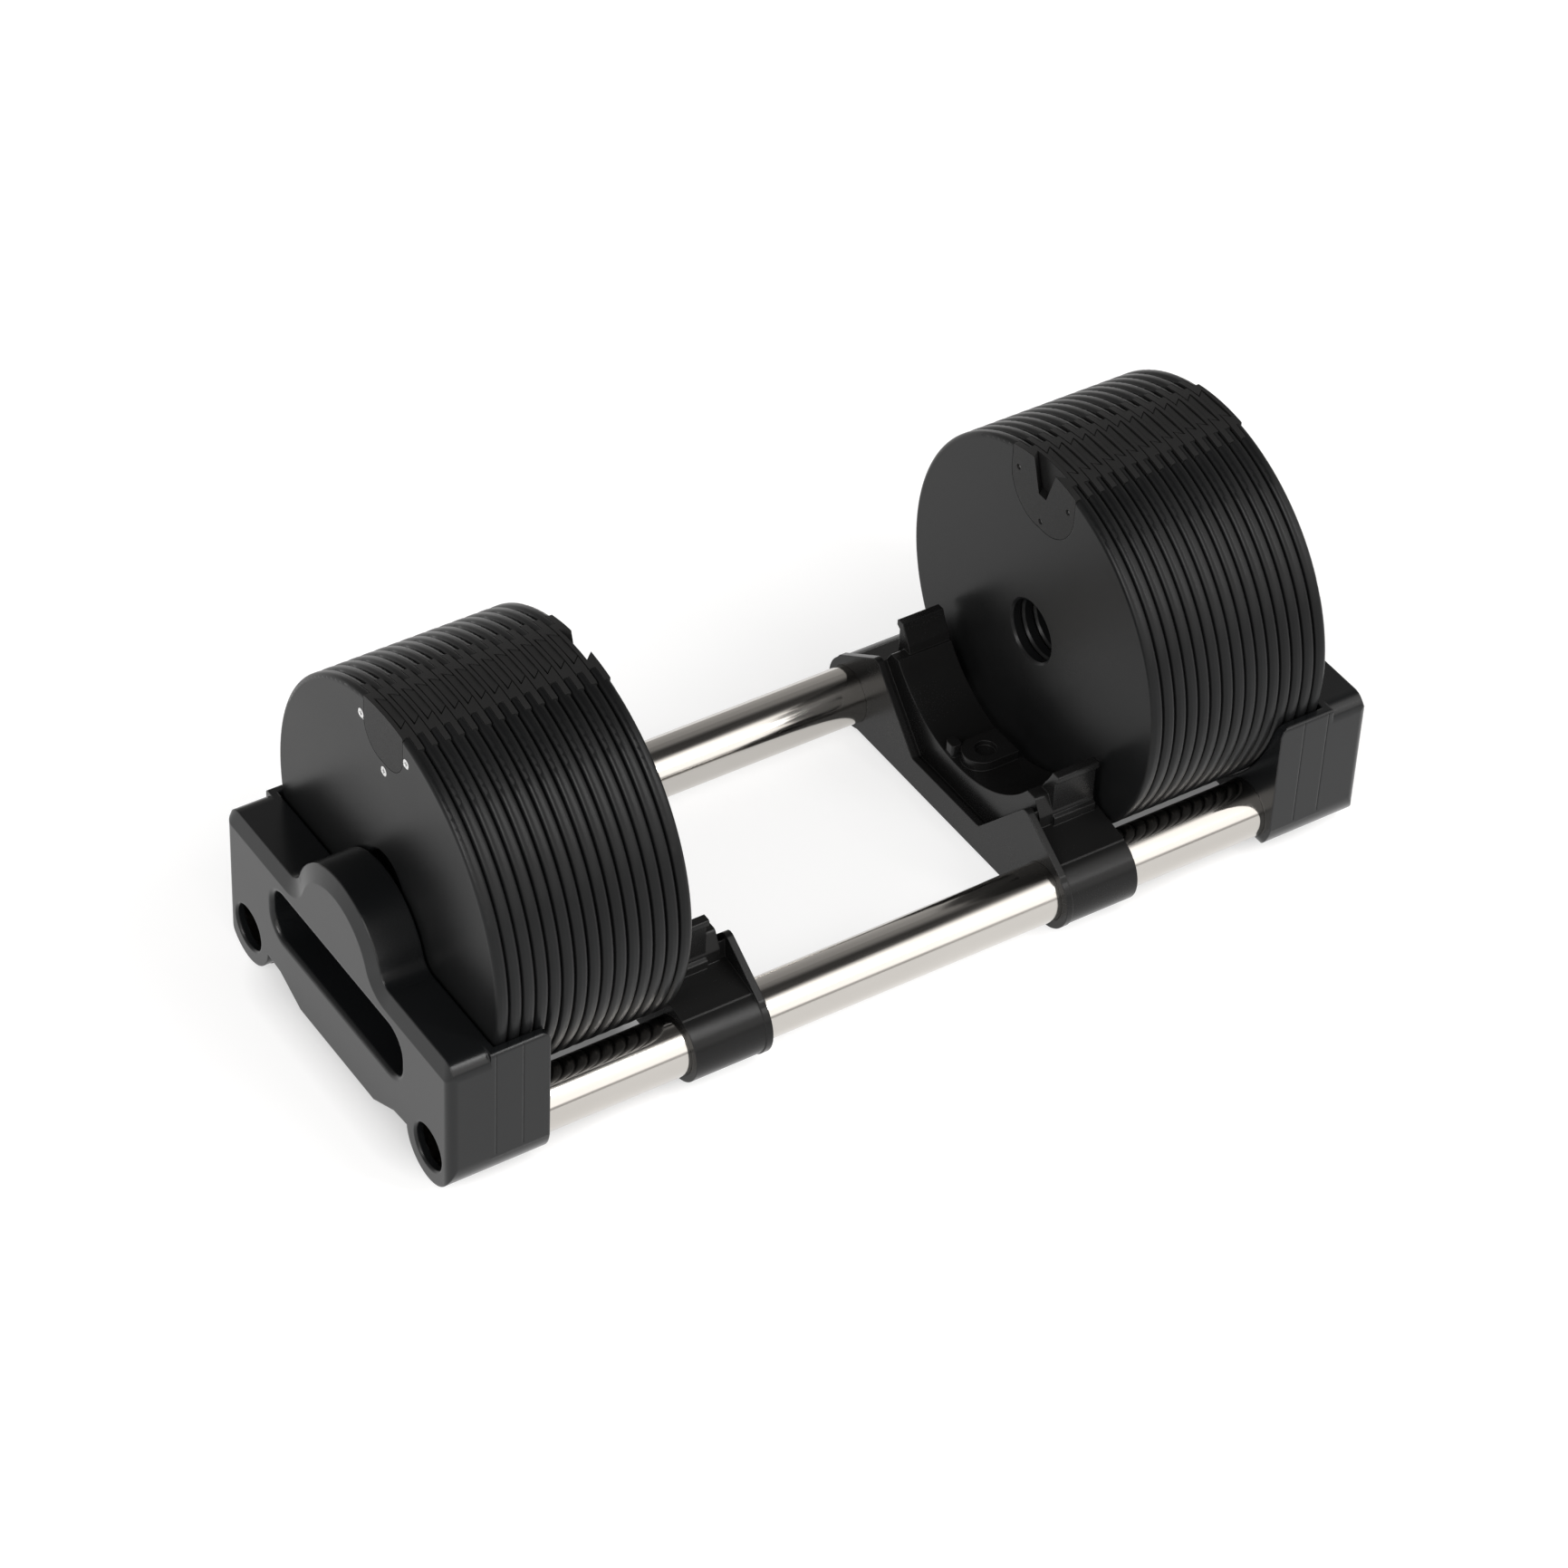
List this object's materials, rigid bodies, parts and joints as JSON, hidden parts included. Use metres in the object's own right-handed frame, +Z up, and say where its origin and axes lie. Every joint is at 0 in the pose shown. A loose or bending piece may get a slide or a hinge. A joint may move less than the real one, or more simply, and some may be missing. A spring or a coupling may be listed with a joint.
{
  "type": "adjustable dumbbell weight cradle",
  "caption": "Storage cradle of two tubes and four moulded brackets that holds two stacks of thin round plates for an adjustable dumbbell handle.",
  "frame": {"origin": "on the floor, under the middle of the cradle", "axes": "+X from the left stack to the right stack along the tubes, +Z up, -Y towards the near tube"},
  "size_m": [0.4316, 0.175, 0.1719],
  "materials": {
    "plate_steel": "satin black powder coat",
    "coupling_plastic": "fine-textured black moulding",
    "bracket_plastic": "satin charcoal moulding",
    "inner_bracket_plastic": "semi-gloss black moulding",
    "tube_chrome": "polished, slightly warm",
    "screw_steel": "bright zinc",
    "pad_rubber": "matt black rubber"
  },
  "bodies": {
    "cradle": {"tube_near": "tube_chrome", "tube_far": "tube_chrome", "end_bracket_left": "bracket_plastic", "inner_bracket_left": "inner_bracket_plastic", "end_bracket_right": "bracket_plastic", "inner_bracket_right": "inner_bracket_plastic", "foot_pads": "pad_rubber", "bracket_screws": "screw_steel"},
    "left_15": {"plate_left_15": "plate_steel", "coupling_left_outer": "coupling_plastic", "screws_left_outer": "screw_steel"},
    "left_14": {"plate_left_14": "plate_steel"},
    "left_13": {"plate_left_13": "plate_steel"},
    "left_12": {"plate_left_12": "plate_steel"},
    "left_11": {"plate_left_11": "plate_steel"},
    "left_10": {"plate_left_10": "plate_steel"},
    "left_09": {"plate_left_09": "plate_steel"},
    "left_08": {"plate_left_08": "plate_steel"},
    "left_07": {"plate_left_07": "plate_steel"},
    "left_06": {"plate_left_06": "plate_steel"},
    "left_05": {"plate_left_05": "plate_steel"},
    "left_04": {"plate_left_04": "plate_steel"},
    "left_03": {"plate_left_03": "plate_steel"},
    "left_02": {"plate_left_02": "plate_steel"},
    "left_01": {"plate_left_01": "plate_steel", "coupling_left_inner": "coupling_plastic"},
    "right_15": {"plate_right_15": "plate_steel", "coupling_right_outer": "coupling_plastic", "screws_right_outer": "screw_steel"},
    "right_14": {"plate_right_14": "plate_steel"},
    "right_13": {"plate_right_13": "plate_steel"},
    "right_12": {"plate_right_12": "plate_steel"},
    "right_11": {"plate_right_11": "plate_steel"},
    "right_10": {"plate_right_10": "plate_steel"},
    "right_09": {"plate_right_09": "plate_steel"},
    "right_08": {"plate_right_08": "plate_steel"},
    "right_07": {"plate_right_07": "plate_steel"},
    "right_06": {"plate_right_06": "plate_steel"},
    "right_05": {"plate_right_05": "plate_steel"},
    "right_04": {"plate_right_04": "plate_steel"},
    "right_03": {"plate_right_03": "plate_steel"},
    "right_02": {"plate_right_02": "plate_steel"},
    "right_01": {"plate_right_01": "plate_steel", "coupling_right_inner": "coupling_plastic"}
  },
  "joints": [
    {"name": "lift_left_15", "type": "slide", "parent": "cradle", "child": "left_15", "axis": [0, 0, 1], "range_m": [0, 0.175]},
    {"name": "lift_left_14", "type": "slide", "parent": "left_15", "child": "left_14", "axis": [0, 0, 1], "range_m": [0, 0.175]},
    {"name": "lift_left_13", "type": "slide", "parent": "left_14", "child": "left_13", "axis": [0, 0, 1], "range_m": [0, 0.175]},
    {"name": "lift_left_12", "type": "slide", "parent": "left_13", "child": "left_12", "axis": [0, 0, 1], "range_m": [0, 0.175]},
    {"name": "lift_left_11", "type": "slide", "parent": "left_12", "child": "left_11", "axis": [0, 0, 1], "range_m": [0, 0.175]},
    {"name": "lift_left_10", "type": "slide", "parent": "left_11", "child": "left_10", "axis": [0, 0, 1], "range_m": [0, 0.175]},
    {"name": "lift_left_09", "type": "slide", "parent": "left_10", "child": "left_09", "axis": [0, 0, 1], "range_m": [0, 0.175]},
    {"name": "lift_left_08", "type": "slide", "parent": "left_09", "child": "left_08", "axis": [0, 0, 1], "range_m": [0, 0.175]},
    {"name": "lift_left_07", "type": "slide", "parent": "left_08", "child": "left_07", "axis": [0, 0, 1], "range_m": [0, 0.175]},
    {"name": "lift_left_06", "type": "slide", "parent": "left_07", "child": "left_06", "axis": [0, 0, 1], "range_m": [0, 0.175]},
    {"name": "lift_left_05", "type": "slide", "parent": "left_06", "child": "left_05", "axis": [0, 0, 1], "range_m": [0, 0.175]},
    {"name": "lift_left_04", "type": "slide", "parent": "left_05", "child": "left_04", "axis": [0, 0, 1], "range_m": [0, 0.175]},
    {"name": "lift_left_03", "type": "slide", "parent": "left_04", "child": "left_03", "axis": [0, 0, 1], "range_m": [0, 0.175]},
    {"name": "lift_left_02", "type": "slide", "parent": "left_03", "child": "left_02", "axis": [0, 0, 1], "range_m": [0, 0.175]},
    {"name": "lift_left_01", "type": "slide", "parent": "left_02", "child": "left_01", "axis": [0, 0, 1], "range_m": [0, 0.175]},
    {"name": "lift_right_15", "type": "slide", "parent": "cradle", "child": "right_15", "axis": [0, 0, 1], "range_m": [0, 0.175]},
    {"name": "lift_right_14", "type": "slide", "parent": "right_15", "child": "right_14", "axis": [0, 0, 1], "range_m": [0, 0.175]},
    {"name": "lift_right_13", "type": "slide", "parent": "right_14", "child": "right_13", "axis": [0, 0, 1], "range_m": [0, 0.175]},
    {"name": "lift_right_12", "type": "slide", "parent": "right_13", "child": "right_12", "axis": [0, 0, 1], "range_m": [0, 0.175]},
    {"name": "lift_right_11", "type": "slide", "parent": "right_12", "child": "right_11", "axis": [0, 0, 1], "range_m": [0, 0.175]},
    {"name": "lift_right_10", "type": "slide", "parent": "right_11", "child": "right_10", "axis": [0, 0, 1], "range_m": [0, 0.175]},
    {"name": "lift_right_09", "type": "slide", "parent": "right_10", "child": "right_09", "axis": [0, 0, 1], "range_m": [0, 0.175]},
    {"name": "lift_right_08", "type": "slide", "parent": "right_09", "child": "right_08", "axis": [0, 0, 1], "range_m": [0, 0.175]},
    {"name": "lift_right_07", "type": "slide", "parent": "right_08", "child": "right_07", "axis": [0, 0, 1], "range_m": [0, 0.175]},
    {"name": "lift_right_06", "type": "slide", "parent": "right_07", "child": "right_06", "axis": [0, 0, 1], "range_m": [0, 0.175]},
    {"name": "lift_right_05", "type": "slide", "parent": "right_06", "child": "right_05", "axis": [0, 0, 1], "range_m": [0, 0.175]},
    {"name": "lift_right_04", "type": "slide", "parent": "right_05", "child": "right_04", "axis": [0, 0, 1], "range_m": [0, 0.175]},
    {"name": "lift_right_03", "type": "slide", "parent": "right_04", "child": "right_03", "axis": [0, 0, 1], "range_m": [0, 0.175]},
    {"name": "lift_right_02", "type": "slide", "parent": "right_03", "child": "right_02", "axis": [0, 0, 1], "range_m": [0, 0.175]},
    {"name": "lift_right_01", "type": "slide", "parent": "right_02", "child": "right_01", "axis": [0, 0, 1], "range_m": [0, 0.175]}
  ]
}
